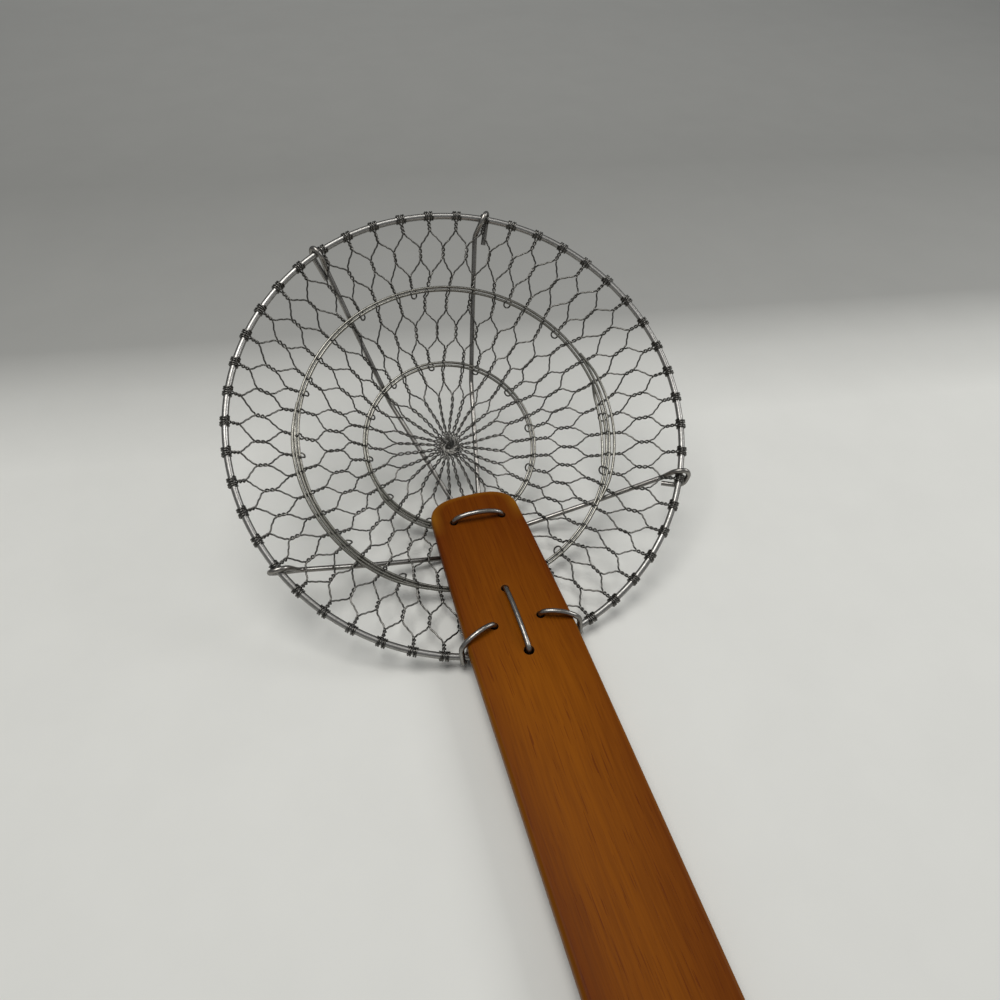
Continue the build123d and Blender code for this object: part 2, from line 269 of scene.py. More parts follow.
@dataclass(frozen=True)
class SteelFinish:
    """Drawn stainless wire, bright with faint clouding, with painted shade: darker where the wire turns from
    view, standing in for reflections of a dark room.
    """

    name: str
    bright: Colour
    dull: Colour
    gloss: float
    # Painted shade: near-black mixed in where the wire turns from view, standing in for reflections of a
    # dark room
    edge: Colour = (0.035, 0.034, 0.03)
    painted_edge_shade_share: float = 0.85
    painted_edge_shade_power: float = 1.6
    dullness: float = 0.35
    cloud_scale: float = 90.0
    draw_scale: float = 1400.0
    cloud_start: float = 0.12
    cloud_full: float = 0.45

    def make(self) -> bpy.types.Material:
        """Make the finish.

        Returns:
            A node material.
        """
        material, nodes, shader = new_material(self.name)
        scales = {"Cloud Scale": self.cloud_scale, "Draw Scale": self.draw_scale}
        values = {**scales, "Gloss": self.gloss, "Dullness": self.dullness}
        tarnish = nodes.add("Group", values, node_tree=tarnish_group()).outputs
        tone = nodes.ramp(tarnish["Mask"], [(self.cloud_start, self.bright), (self.cloud_full, self.dull)])
        # Painted shade: the base colour goes towards near-black where the wire turns from view, standing in
        # for reflections of a dark room
        facing = nodes.add("LayerWeight", {"Blend": 0.5}).outputs["Facing"]
        turned = nodes.calc("MULTIPLY", nodes.calc("POWER", facing, self.painted_edge_shade_power), self.painted_edge_shade_share)
        nodes.feed(shader, {
            "Base Color": nodes.mix(turned, tone, self.edge),
            "Roughness": tarnish["Roughness"],
            "Metallic": 1.0,
            "Normal": nodes.bump(tarnish["Height"], depth=0.02, strength=0.08),
        })
        return material


@dataclass(frozen=True)
class BambooFinish:
    """Split bamboo, stained caramel and satin varnished, paler where the edges are rubbed."""

    name: str
    golden: Colour = (0.245, 0.070, 0.0008)
    amber: Colour = (0.155, 0.037, 0.0006)
    brown: Colour = (0.088, 0.013, 0.0008)
    rubbed: Colour = (0.27, 0.105, 0.006)
    fibre_tint: Colour = (0.62, 0.55, 0.5)
    half_width: float = 20.3
    tip: float = 102.33
    half_tip: float = 18.1
    tip_bow: float = 10.0
    tip_square: float = 3.0
    tip_shading: tuple[float, float] = (90.0, 15.0)
    end_shading: tuple[float, float] = (10.0, -110.0)
    side_power: float = 2.5
    side_shade: float = 0.55
    tip_shade: float = 0.58
    end_shade: float = 0.3
    band_shade: float = 0.9
    fibre_share: float = 0.65
    pore_share: float = 0.5
    edge_rub: float = 0.5
    tip_rub: float = 0.8
    rub_reach: float = 1.4
    gloss: float = 0.30
    fibre_dullness: float = 0.22

    def make(self) -> bpy.types.Material:
        """Make the finish.

        Returns:
            A node material.
        """
        material, nodes, shader = new_material(self.name)
        scales = {"Band Scale": 75.0, "Fibre Scale": 1500.0}
        grain = nodes.add("Group", scales, node_tree=grain_group()).outputs
        place = nodes.add("SeparateXYZ", {0: nodes.place()}).outputs
        across = nodes.calc("ABSOLUTE", place["X"])
        shade = self.shade(nodes, across, place["Y"], grain["Bands"])
        broad = nodes.ramp(shade, [(0.0, self.golden), (0.55, self.amber), (1.0, self.brown)])
        fine = nodes.ramp(grain["Fibres"], [(0.25, self.fibre_tint), (0.6, (1.0, 1.0, 1.0))])
        fibred = nodes.mix(self.fibre_share, broad, fine, "MULTIPLY")
        pored = nodes.mix(nodes.calc("MULTIPLY", grain["Pores"], self.pore_share), fibred, self.brown)
        dullness = nodes.calc("MULTIPLY", grain["Fibres"], self.fibre_dullness)
        rub_start = (self.half_width - self.rub_reach) * MM
        rub = nodes.rise(across, rub_start, self.half_width * MM, self.edge_rub)
        edged = nodes.mix(rub, pored, self.rubbed)
        nodes.feed(shader, {
            "Base Color": nodes.mix(self.tip_wear(nodes, across, place["Y"]), edged, self.rubbed),
            "Roughness": nodes.calc("ADD", self.gloss, dullness),
            "Specular IOR Level": 0.06,
            "Normal": nodes.bump(grain["Height"], depth=0.05, strength=0.5),
        })
        return material

    def shade(self, nodes: Nodes, across: Socket, along: Socket, bands: Socket) -> Socket:
        """Return how far the colour is darkened towards brown, from 0 to 1.

        Args:
            nodes: The material's nodes.
            across: Distance from the slat's middle.
            along: Place along the slat.
            bands: Value of the broad bands.

        Returns:
            Socket with the shade: darker at the sides, by the tip and towards the free end, and in broad
                bands.
        """
        side = nodes.calc("DIVIDE", across, self.half_width * MM)
        shade = nodes.calc("MULTIPLY", nodes.calc("POWER", side, self.side_power), self.side_shade)
        tip_start, tip_full = ((self.tip - reach) * MM for reach in self.tip_shading)
        end_start, end_full = (place * MM for place in self.end_shading)
        for part in (
            nodes.rise(along, tip_start, tip_full, self.tip_shade),
            nodes.rise(along, end_start, end_full, self.end_shade),
            nodes.calc("MULTIPLY", nodes.calc("SUBTRACT", bands, 0.5), self.band_shade),
        ):
            shade = nodes.calc("ADD", shade, part)
        return shade

    def tip_wear(self, nodes: Nodes, across: Socket, along: Socket) -> Socket:
        """Return how far the varnish is rubbed along the crowned tip's edge.

        Args:
            nodes: The material's nodes.
            across: Distance from the slat's middle.
            along: Place along the slat.

        Returns:
            Socket with the share of rubbed bamboo.
        """
        wear_start, wear_full = 0.35, 0.9
        past = nodes.calc("SUBTRACT", along, (self.tip - self.tip_bow) * MM)
        crown = nodes.calc("MAXIMUM", nodes.calc("DIVIDE", past, self.tip_bow * MM), 0.0)
        side = nodes.calc("DIVIDE", across, self.half_tip * MM)
        powers = (nodes.calc("POWER", share, self.tip_square) for share in (crown, side))
        edge = nodes.rise(nodes.calc("ADD", *powers), wear_start, wear_full, self.tip_rub)
        return nodes.calc("MULTIPLY", edge, nodes.rise(past, -self.tip_bow * MM, 0.0))


@dataclass(frozen=True)
class HoleShadeFinish:
    """Unvarnished bamboo inside the drilled holes, painted near-black: painted shade of the narrow bores."""

    name: str
    # Painted shade: near-black colours for the walls of the holes, varied by the grain
    tone: Colour = (0.022, 0.007, 0.002)
    light: Colour = (0.06, 0.02, 0.005)

    def make(self) -> bpy.types.Material:
        """Make the finish.

        Returns:
            A node material.
        """
        material, nodes, shader = new_material(self.name)
        scales = {"Band Scale": 200.0, "Fibre Scale": 1500.0}
        grain = nodes.add("Group", scales, node_tree=grain_group()).outputs
        nodes.feed(shader, {
            "Base Color": nodes.ramp(grain["Fibres"], [(0.35, self.tone), (0.7, self.light)]),
            "Roughness": 0.85,
            "Specular IOR Level": 0.1,
            "Normal": nodes.bump(grain["Height"], depth=0.08, strength=0.6),
        })
        return material


@dataclass(frozen=True)
class FloorFinish:
    """Matt paper of the table, pale round the skimmer and painted greyer behind it: painted shade standing
    in for the backdrop in shade.
    """

    name: str
    tint: Colour = (1.0, 1.0, 0.95)
    # Tone by distance past the start line in millimetres: the pale floor, then painted shade where the
    # backdrop stands in shade
    painted_shade_tones: tuple[tuple[float, float], ...] = (
        (0.0, 0.77), (48.0, 0.60), (90.0, 0.365), (280.0, 0.315), (650.0, 0.47), (850.0, 0.59),
    )
    mottle: float = 0.025
    mottle_scale: float = 25.0

    def make(self, start: Vector, away: Vector) -> bpy.types.Material:
        """Make the finish.

        Args:
            start: Place in millimetres where the painted shade of the backdrop begins.
            away: Direction in which it does.

        Returns:
            The material.
        """
        material, nodes, shader = new_material(self.name)
        place = nodes.place()
        parts = nodes.add("SeparateXYZ", {0: place}).outputs
        across = nodes.calc("MULTIPLY", parts["X"], away.x)
        along = nodes.calc("MULTIPLY", parts["Y"], away.y)
        behind = nodes.calc("SUBTRACT", nodes.calc("ADD", across, along), start.dot(away) * MM)
        reach = self.painted_shade_tones[-1][0]
        stops = [(where / reach, tuple(tone * part for part in self.tint)) for where, tone in self.painted_shade_tones]
        tone = nodes.ramp(nodes.calc("DIVIDE", behind, reach * MM), stops)
        cloud = nodes.noise(place, self.mottle_scale, detail=5.0, roughness=0.6)
        shaded = (1 - self.mottle,) * 3
        clouds = nodes.ramp(cloud, [(0.35, shaded), (0.65, (1.0, 1.0, 1.0))])
        nodes.feed(shader, {
            "Base Color": nodes.mix(1.0, tone, clouds, "MULTIPLY"),
            "Roughness": 0.6,
            "Specular IOR Level": 0.3,
        })
        return material


# The basket's shape


@dataclass(frozen=True)
class Basket:
    """Shape and place of the bowl, which leans away from the handle."""

    lean: float = 31.17
    centre: Triple = (0.0, 105.115, 49.132)
    rim_radius: float = RIM_RADIUS
    rim_wire: float = 2.5
    outer_hoop: tuple[float, float] = OUTER_HOOP
    inner_hoop: tuple[float, float] = INNER_HOOP
    floor: tuple[float, float] = (25.0, 36.0)
    kink: float = 2.0
    skew: tuple[float, float] = (-1.9, 1.7)
    skew_power: float = 0.8

    def shift(self, radius: float) -> tuple[float, float]:
        """Tell how far the bowl's hand-bent middle has wandered at a radius.

        Args:
            radius: Radius from the basket's axis.

        Returns:
            Distance right of the axis and away from the handle.
        """
        share = (self.rim_radius - radius) / (self.rim_radius - self.floor[0])
        share = min(1.0, max(0.0, share)) ** self.skew_power
        return self.skew[0] * share, self.skew[1] * share

    def sharp_depth(self, radius: float) -> float:
        """Work out the bowl's depth, with kinks at the hoops.

        Args:
            radius: Radius from the basket's axis.

        Returns:
            The depth under the rim's plane.
        """
        rim, middle = (self.rim_radius, 0.0), (0.0, self.floor[1])
        stations = [rim, self.outer_hoop, self.inner_hoop, self.floor, middle]
        for (outer, high), (inner, low) in zip(stations, stations[1:]):
            if radius >= inner:
                break
        return high + (low - high) * (outer - radius) / (outer - inner)

    def depth(self, radius: float) -> float:
        """Work out the bowl's depth, eased over the kinks.

        Args:
            radius: Radius from the basket's axis.

        Returns:
            The depth under the rim's plane.
        """
        away = min(self.kink, self.rim_radius - radius, radius)
        if away <= 0:
            return self.sharp_depth(radius)
        beside = self.sharp_depth(radius - away) + self.sharp_depth(radius + away)
        return (beside + 2 * self.sharp_depth(radius)) / 4

    def slope(self, radius: float) -> float:
        """Return the bowl's slope at a radius, in radians."""
        step = 0.5
        return math.atan2(self.depth(radius - step) - self.depth(radius + step), 2 * step)

    def place(self, across: float, inward: float, height: float) -> Vector:
        """Return a point of the basket.

        Args:
            across: Place right of the basket's axis.
            inward: Place away from the handle.
            height: Height over the rim's plane.

        Returns:
            The point in the scene.
        """
        move = Matrix.Translation(Vector(self.centre) * MM)
        turned = move @ Matrix.Rotation(math.radians(self.lean), 4, "X") @ Matrix.Scale(MM, 4)
        return turned @ Vector((across, inward, height))

    def round(
        self, radius: float, bearing: float, height: float, out: float = 0.0, aside: float = 0.0,
    ) -> Vector:
        """Return a point by radius, bearing and height over the rim's plane.

        Args:
            radius: Radius from the basket's axis.
            bearing: Direction from the handle, in degrees.
            height: Height over the rim's plane.
            out: Distance past the radius.
            aside: Distance along the hoops' direction.

        Returns:
            The point in the scene.
        """
        turn = math.radians(bearing)
        shift = self.shift(radius)
        reach = radius + out
        across = reach * math.sin(turn) + aside * math.cos(turn)
        inward = -reach * math.cos(turn) + aside * math.sin(turn)
        return self.place(across + shift[0], inward + shift[1], height)

    def on_net(self, radius: float, bearing: float, aside: float, lift: float) -> Vector:
        """Return a point beside or over the netting's middle surface.

        Args:
            radius: Radius from the basket's axis.
            bearing: Direction from the handle, in degrees.
            aside: Distance along the hoops' direction.
            lift: Distance off the surface, towards the bowl's inside.

        Returns:
            The point in the scene.
        """
        slope = self.slope(radius)
        height = lift * math.cos(slope) - self.depth(radius)
        return self.round(radius, bearing, height, -lift * math.sin(slope), aside)


# Making and dressing pieces


def add_object(name: str, data: bpy.types.ID) -> bpy.types.Object:
    """Put data into the scene as an object.

    Args:
        name: Name of the object.
        data: Its mesh, curve, lamp or camera.

    Returns:
        The object.
    """
    piece = bpy.data.objects.new(name, data)
    bpy.context.scene.collection.objects.link(piece)
    return piece


def add_mesh(name: str, mesh: bmesh.types.BMesh) -> bpy.types.Object:
    """Put a finished mesh into the scene as an object.

    Args:
        name: Name of the object.
        mesh: The mesh, which is used up.

    Returns:
        The object.
    """
    data = bpy.data.meshes.new(name)
    mesh.to_mesh(data)
    mesh.free()
    return add_object(name, data)


def finish_piece(piece: bpy.types.Object, material: bpy.types.Material, slot: Slot, *nodes: str) -> None:
    """Dress a piece, let it ride on the part and let it stand for CAD nodes.

    Args:
        piece: The finished piece.
        material: Its material.
        slot: The record's slot; not used.
        *nodes: CAD nodes that it replaces.
    """
    piece.data.materials.clear()
    piece.data.materials.append(material)
    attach(piece, BODY)
    if nodes:
        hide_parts(*nodes)
    log.info("made %s for %s", piece.name, ", ".join(nodes) or "no node")


def wire_piece(
    name: str, routes: list[Route], diameter: float, sides: int, steel: bpy.types.Material, *nodes: str,
    closed: bool = False, order: int = 4, steps: int = 3,
) -> None:
    """Make and dress one piece of round wires that follow routes.

    Args:
        name: Name of the piece.
        routes: Points of each wire, in metres.
        diameter: Wire diameter in millimetres.
        sides: Sides of the wires' section, an even number.
        steel: Material of the piece.
        *nodes: CAD nodes that it replaces.
        closed: Whether each wire closes on itself.
        order: Order of the curve, 2 for straight runs between the points.
        steps: Points of the finished curve for each given point.
    """
    data = bpy.data.curves.new(name, "CURVE")
    data.dimensions = "3D"
    data.bevel_depth = diameter / 2 * MM
    data.bevel_resolution = (sides - 4) // 2
    data.use_fill_caps = True
    data.resolution_u = steps
    data.render_resolution_u = 0
    for route in routes:
        spline = data.splines.new("POLY" if order == 2 else "NURBS")
        spline.points.add(len(route) - 1)
        for point, spot in zip(spline.points, route):
            point.co = (*spot, 1.0)
        if order > 2:
            spline.order_u = order
            spline.use_endpoint_u = not closed
            spline.resolution_u = steps
        spline.use_cyclic_u = closed
    finish_piece(add_object(name, data), steel, Slot.STEEL, *nodes)


def bent_route(points: Route, radius: float) -> Route:
    """Return a route along straight runs with an arc at each corner.

    Args:
        points: Corners of the route, in metres.
        radius: Largest bend radius in millimetres, less where the runs are short.

    Returns:
        The route's points, in metres.
    """
    run_share, arc_step, straight = 0.48, 12.0, 1e-3
    route = [points[0]]
    for before, corner, after in zip(points, points[1:], points[2:]):
        here = (corner - before).normalized()
        there = (after - corner).normalized()
        turn = here.angle(there)
        if turn < straight:
            continue
        shorter = min((corner - before).length, (after - corner).length)
        bend = min(radius * MM, run_share * shorter / math.tan(turn / 2))
        reach = bend * math.tan(turn / 2)
        inwards = (there - here).normalized()
        centre = corner + inwards * (bend / math.cos(turn / 2))
        start = corner - here * reach - centre
        axis = here.cross(there).normalized()
        count = max(2, math.ceil(math.degrees(turn) / arc_step))
        for index in range(count + 1):
            route.append(centre + Matrix.Rotation(turn * index / count, 3, axis) @ start)
    route.append(points[-1])
    return route


# Rim and hoops


@dataclass(frozen=True)
class Lap:
    """Free end of a hoop's strand, between two bearings outside or inside its hoop."""

    hoop: tuple[float, float]
    begin: float
    end: float
    out: int
    fan: float
    lift: float = 0.0


@dataclass
class Rim:
    """Rim of stout wire and the two double hoops that shape the bowl."""

    basket: Basket
    hoop_wire: float = 1.1
    strand_gap: float = 0.25
    hoop_lift: float = 1.05
    wobble: float = 0.12
    hoop_wobble: float = 0.06
    rim_seed: int = 3
    hoop_seeds: tuple[int, int] = (12, 18)
    rim_sides: int = 14
    hoop_sides: int = 10
    lap_sides: int = 8
    waves: tuple[int, ...] = (2, 3, 5, 7)
    points: int = 72
    laps: tuple[Lap, ...] = (
        Lap(OUTER_HOOP, 52.0, 112.0, 1, 0.5),
        Lap(OUTER_HOOP, 62.0, 100.0, -1, 0.4, 0.1),
        Lap(OUTER_HOOP, -112.0, -24.0, 1, 0.2),
        Lap(INNER_HOOP, -70.0, -10.0, 1, 0.2),
    )
    lap_points: int = 14
    lap_snug: float = 0.95
    lap_straight: float = 0.75
    lap_tuck: float = 0.9
    lap_climb: float = 0.75
    finish: SteelFinish = SteelFinish(
        "steel_rim", bright=(0.46, 0.45, 0.43), dull=(0.24, 0.235, 0.22), gloss=0.27, painted_edge_shade_share=0.95
    )
    hoop_finish: SteelFinish = SteelFinish(
        "steel_hoop", bright=(0.34, 0.33, 0.295), dull=(0.12, 0.115, 0.095), gloss=0.2
    )

    def ring(self, radius: float, height: float, wobble: float, seed: int) -> Route:
        """Return the points of a nearly round ring in the basket.

        Args:
            radius: Radius from the basket's axis.
            height: Height over the rim's plane.
            wobble: How far the wire strays from the circle.
            seed: Seed of its straying.

        Returns:
            Points in the scene.
        """
        out_share, up_share = 0.5, 0.3
        dice = random.Random(seed)
        waves = [(dice.uniform(-1, 1), dice.uniform(0, math.tau), count) for count in self.waves]
        route = []
        for index in range(self.points):
            turn = math.tau * index / self.points
            stray = wobble * sum(size * math.sin(count * turn + start) for size, start, count in waves)
            route.append(
                self.basket.round(radius + stray * out_share, math.degrees(turn), height + stray * up_share)
            )
        return route

    def strand_places(self, hoop: tuple[float, float]) -> list[tuple[float, float]]:
        """Return where a hoop's two strands run.

        Args:
            hoop: Radius and depth of the hoop.

        Returns:
            Radius and height of the upper and the lower strand.
        """
        step = (self.hoop_wire + self.strand_gap) / 2
        lean = math.radians(self.basket.lean)
        seat = hoop[0] + step
        radius = seat - self.hoop_lift * math.sin(lean)
        height = self.hoop_lift * math.cos(lean) - self.basket.sharp_depth(seat)
        out, up = step * math.cos(lean), step * math.sin(lean)
        return [(radius + side * out, height + side * up) for side in (1, -1)]

    def lap_route(self, lap: Lap) -> Route:
        """Return the points of a strand's free end that runs on beside its hoop.

        Args:
            lap: The free end.

        Returns:
            Points in the scene.
        """
        step = (self.hoop_wire + self.strand_gap) / 2
        base, height = self.strand_places(lap.hoop)[0 if lap.out > 0 else 1]
        lean = math.radians(self.basket.lean)
        route = []
        for index in range(self.lap_points + 1):
            share = index / self.lap_points
            bearing = lap.begin + (lap.end - lap.begin) * share
            ease = max(0.0, abs(2 * share - 1) - self.lap_straight) / (1 - self.lap_straight)
            apart = 2 * step * (self.lap_snug + lap.fan * math.sin(math.pi * share))
            beside = apart * (1 - self.lap_tuck * ease)
            out = lap.out * (beside * math.cos(lean))
            up = lap.out * beside * math.sin(lean) + lap.lift + self.lap_climb * ease
            route.append(self.basket.round(base + out, bearing, height + up))
        return route

    def build(self) -> None:
        """Make and dress the rim and the hoops."""
        route = self.ring(self.basket.rim_radius, 0.0, self.wobble, self.rim_seed)
        steel = self.finish.make()
        wire_piece("rim", [route], self.basket.rim_wire, self.rim_sides, steel, "rim_wire", closed=True)
        thin = self.hoop_finish.make()
        strands = ("upper_strand", "lower_strand")
        hoops = (("outer_hoop", self.basket.outer_hoop), ("inner_hoop", self.basket.inner_hoop))
        for (name, hoop), seed in zip(hoops, self.hoop_seeds):
            for number, (strand, place) in enumerate(zip(strands, self.strand_places(hoop))):
                node = f"{name}_{strand}"
                route = self.ring(*place, self.hoop_wobble, seed + number)
                wire_piece(f"{node}_wire", [route], self.hoop_wire, self.hoop_sides, thin, node, closed=True)
        for number, lap in enumerate(self.laps):
            wire_piece(f"hoop_lap_{number}", [self.lap_route(lap)], self.hoop_wire, self.lap_sides, thin)


# Netting


@dataclass(frozen=True)
class Row:
    """Row of twisted pairs, between two shares of its zone's width."""

    begin: float
    end: float
    lobes: int


@dataclass(frozen=True)
class Zone:
    """Ring of the netting between two radii, numbered from the rim inwards."""

    ring: int
    node: str
    outer: float
    inner: float
    columns: int
    first: float
    rows: tuple[Row, ...]

    @property
    def seed(self) -> int:
        """Return the seed of the zone's chance."""
        return 5 + self.ring


@dataclass(frozen=True)
class Pair:
    """Twisted pair of wires: radii of its ends, its bearing and how open its twist is."""

    outer: float
    inner: float
    bearing: float
    plump: float


@dataclass
class Netting:
    """Hexagonal netting of twisted wire pairs, in three zones."""

    basket: Basket
    wire: float = 0.68
    sides: int = 6
    spread: float = 0.42
    flare: float = 0.12
    flare_fade: float = 1.6
    eye: float = 0.01
    turn_chance: float = 0.55
    end_chance: float = 0.5
    plumpness: tuple[float, float] = (0.85, 1.25)
    stray: float = 0.6
    rim_calm: float = 12.0
    hub_calm: float = 20.0
    over_lift: float = 2.4
    under_lift: float = 0.15
    hang_drop: float = 0.3
    wrap_turns: int = 2
    wrap_step: float = 0.74
    wrap_start: float = 0.38
    wrap_leave: float = 128.0
    wrap_sides: int = 9
    wrap_snug: float = 0.985
    wrap_gap: float = 0.03
    loop_radius: float = 1.3
    loop_depth: float = 1.0
    knot_wire: float = 1.0
    knot_sides: int = 8
    sector: float = 30.0
    sector_core: float = 7.0
    core_link: float = 1.9
    hoop_links: tuple[float, float] = (10.6, 8.75)
    # Painted shade: the net's colours are set far darker than the rim's, standing in for the dark room that
    # its thin wires reflect
    finish: SteelFinish = SteelFinish(
        "steel_net", bright=(0.20, 0.194, 0.18), dull=(0.055, 0.052, 0.045), gloss=0.2, painted_edge_shade_share=0.95,
        cloud_scale=240.0,
    )
    zones: tuple[Zone, ...] = (
        Zone(
            0, "net_outer", RIM_RADIUS, OUTER_HOOP[0], 48, 3.75,
            (Row(0.055, 0.22, 3), Row(0.37, 0.59, 3), Row(0.755, 0.96, 3)),
        ),
        Zone(
            1, "net_middle", OUTER_HOOP[0], INNER_HOOP[0], 36, 0.0,
            (Row(0.055, 0.27, 3), Row(0.405, 0.65, 3), Row(0.745, 0.95, 3)),
        ),
        Zone(2, "net_centre", INNER_HOOP[0], 0.0, 24, 7.5, (Row(0.055, 0.23, 3), Row(0.335, 0.85, 6))),
    )

    def stray_at(self, radius: float, bearing: float) -> float:
        """Tell how far the hand-made netting strays sideways at a place.

        Args:
            radius: Radius of the place.
            bearing: Bearing of the place.

        Returns:
            The distance in millimetres.
        """
        broad_count, broad_drift = 3, 0.1
        fine_count, fine_drift, fine_start, fine_share = 7, -0.23, 1.3, 0.7
        turn = math.radians(bearing)
        broad = math.sin(broad_count * turn + broad_drift * radius)
        fine = math.sin(fine_count * turn + fine_drift * radius + fine_start)
        swing = broad + fine_share * fine
        ease = min(1.0, (self.basket.rim_radius - radius) / self.rim_calm, radius / self.hub_calm)
        return self.stray * swing * max(0.0, ease)

    def spot(self, radius: float, bearing: float, aside: float, lift: float) -> Vector:
        """Return a point of a net wire, strayed as the netting is there."""
        return self.basket.on_net(radius, bearing, aside + self.stray_at(radius, bearing), lift)

    def pair(self, zone: Zone, number: int, column: int, side: int) -> Pair:
        """Return one pair of a wire's way, as hand twisting has left it.

        Args:
            zone: The pair's zone.
            number: Its row in the zone.
            column: Column in which the wire starts.
            side: Side to which the wire works its way, 1 or -1.

        Returns:
            The pair, with ends and a bearing that stray a little unless a hoop holds them.
        """
        half_columns = (2 * column + side * number) % (2 * zone.columns)
        zone_step, row_step = 100003, 1009
        dice = random.Random(zone.seed * zone_step + number * row_step + half_columns)
        turned = dice.uniform(-self.turn_chance, self.turn_chance) * self.basket.rim_radius
        turned /= zone.outer + zone.inner + self.hub_calm
        begins, ends = (dice.uniform(-self.end_chance, self.end_chance) for _ in range(2))
        plump = dice.uniform(*self.plumpness)
        first, last = number == 0, number == len(zone.rows) - 1
        width = zone.inner - zone.outer
        outer = zone.outer + width * zone.rows[number].begin + (0.0 if first else begins)
        inner = zone.outer + width * zone.rows[number].end + (0.0 if last else ends)
        bearing = zone.first + 360.0 / zone.columns * (column + side * number / 2)
        held = first or (last and zone.inner > 0)
        return Pair(outer, inner, bearing + (0.0 if held else turned), plump)

    def at_hoop(self, hoop: int, bearing: float, outside: bool) -> tuple[float, bool]:
        """Return where a pair meets a hoop, in the pattern that repeats round it.

        Args:
            hoop: Number of the hoop, from the rim inwards.
            bearing: Bearing of the pair.
            outside: Whether the pair lies outside the hoop.

        Returns:
            The bearing at the hoop, and True where the pair ends there in a hung loop.
        """
        number = round(bearing / self.sector)
        middle = self.sector * number
        offset = bearing - middle
        carried = self.core_link if number % 2 else -self.core_link
        if abs(offset) > self.sector_core:
            return middle + math.copysign(self.hoop_links[hoop], offset), False
        if hoop == 0 and (offset * carried > 0 or not outside):
            return middle + carried, False
        return bearing, True

    def crossing(self, hoop: float, bearing: float, aside: int, beyond: float, lift: float) -> Route:
        """Return the points of a wire on a hoop and beside it.

        Args:
            hoop: Radius of the hoop.
            bearing: Bearing of the wire's pair.
            aside: Side of the pair on which the wire lies, 1 or -1.
            beyond: How far the second point lies outside the hoop.
            lift: Height of the wire over the netting.

        Returns:
            The two points in the scene.
        """
        seat, apart, apart_beyond, sag = 0.35, 0.35, 0.4, 0.85
        return [
            self.spot(hoop + seat, bearing, aside * apart, lift),
            self.spot(hoop + beyond, bearing, aside * apart_beyond, lift * sag),
        ]

    def twist(self, pair: Pair, start: float, finish: float, lobes: int, side: int, hand: int) -> Route:
        """Return one wire's points along a twisted pair.

        Args:
            pair: The pair.
            start: Bearing where it begins.
            finish: Bearing where it ends.
            lobes: Half turns of the twist.
            side: Side from which the wire comes, 1 or -1.
            hand: Hand of the twist, 1 or -1.

        Returns:
            Control points in the scene.
        """
        lobe_points = 4
        count = lobe_points * lobes
        eye = self.eye * max(0, lobes - 3)
        route = []
        for index in range(count + 1):
            share = index / count
            phase = math.pi * lobes * share
            near_end = min(share, 1 - share) * lobes
            flare = self.flare * math.exp(-self.flare_fade * near_end)
            half = pair.plump * self.spread + flare + eye * min(near_end, 1.0)
            radius = pair.outer + (pair.inner - pair.outer) * share
            aside = side * half * math.cos(phase)
            lift = side * hand * half * math.sin(phase)
            route.append(self.spot(radius, start + (finish - start) * share, aside, lift))
        return route

    def wrap(self, bearing: float, side: int) -> Route:
        """Return a wire's turns round the rim, from its cut end to where it leaves for the net.

        Args:
            bearing: Bearing of the wire's pair.
            side: Side of the pair on which the wire lies, 1 or -1.

        Returns:
            Control points in the scene.
        """
        middle = self.basket.rim_wire / 2 + self.wire / 2 + self.wrap_gap
        corner = middle / math.cos(math.pi / self.wrap_sides)
        around = math.radians(1.0) * self.basket.rim_radius
        route = []
        for back in range(self.wrap_turns * self.wrap_sides, -1, -1):
            turn = math.radians(self.wrap_leave) - math.tau * back / self.wrap_sides
            aside = side * (self.wrap_start + self.wrap_step * back / self.wrap_sides)
            out = self.basket.rim_radius + corner * math.cos(turn) * self.wrap_snug
            height = corner * math.sin(turn) * self.wrap_snug
            route.append(self.basket.round(out, bearing + aside / around, height))
        return route

    def loop(self, bearing: float, radius: float, side: int) -> Route:
        """Return half of a hung loop, from the hoop's outside to the loop's inmost point.

        Args:
            bearing: Bearing of the loop.
            radius: Radius of the hoop.
            side: Half of the loop, 1 for the one over the hoop or -1 for the one under it.

        Returns:
            Control points in the scene.
        """
        under = self.under_lift - self.hang_drop
        lift = self.over_lift if side > 0 else under
        middle = (self.over_lift + under) / 2
        wide = self.loop_radius
        start, bends = 0.8, 3
        legs = ((1.3, 0.7, 0.9), (0.2, 1.0, 1.0))
        route = [
            self.spot(radius + out, bearing, side * wide * narrowing, lift * sag)
            for out, narrowing, sag in legs
        ]
        for index in range(bends + 1):
            turn = math.pi / 2 * index / bends
            level = lift + (middle - lift) * index / bends
            inmost = radius - start - self.loop_depth * math.sin(turn)
            route.append(self.spot(inmost, bearing, side * wide * math.cos(turn), level))
        return route

    def hub(self, bearing: float, side: int, begin: float) -> Route:
        """Return a wire's points where it swirls into the knot at the hub.

        Args:
            bearing: Bearing of the wire's last pair.
            side: Side to which the wire works its way, 1 or -1.
            begin: Radius where the pair ends.

        Returns:
            Control points in the scene.
        """
        count, end, turns, wave, scatter, apart, sink = 9, 0.85, 140.0, 0.45, 3, 0.3, 1.6
        pull_power, turn_power, sink_power = 0.8, 1.8, 2.5
        swirl = []
        for index in range(1, count + 1):
            share = index / count
            radius = begin + (end - begin) * share**pull_power
            weave = wave * math.sin(math.pi * 2 * share + scatter * bearing) * (1 - share)
            lift = weave + side * apart - sink * share**sink_power
            turned = bearing - turns * share**turn_power
            swirl.append(self.spot(radius, turned, side * apart * (1 - share), lift))
        return swirl

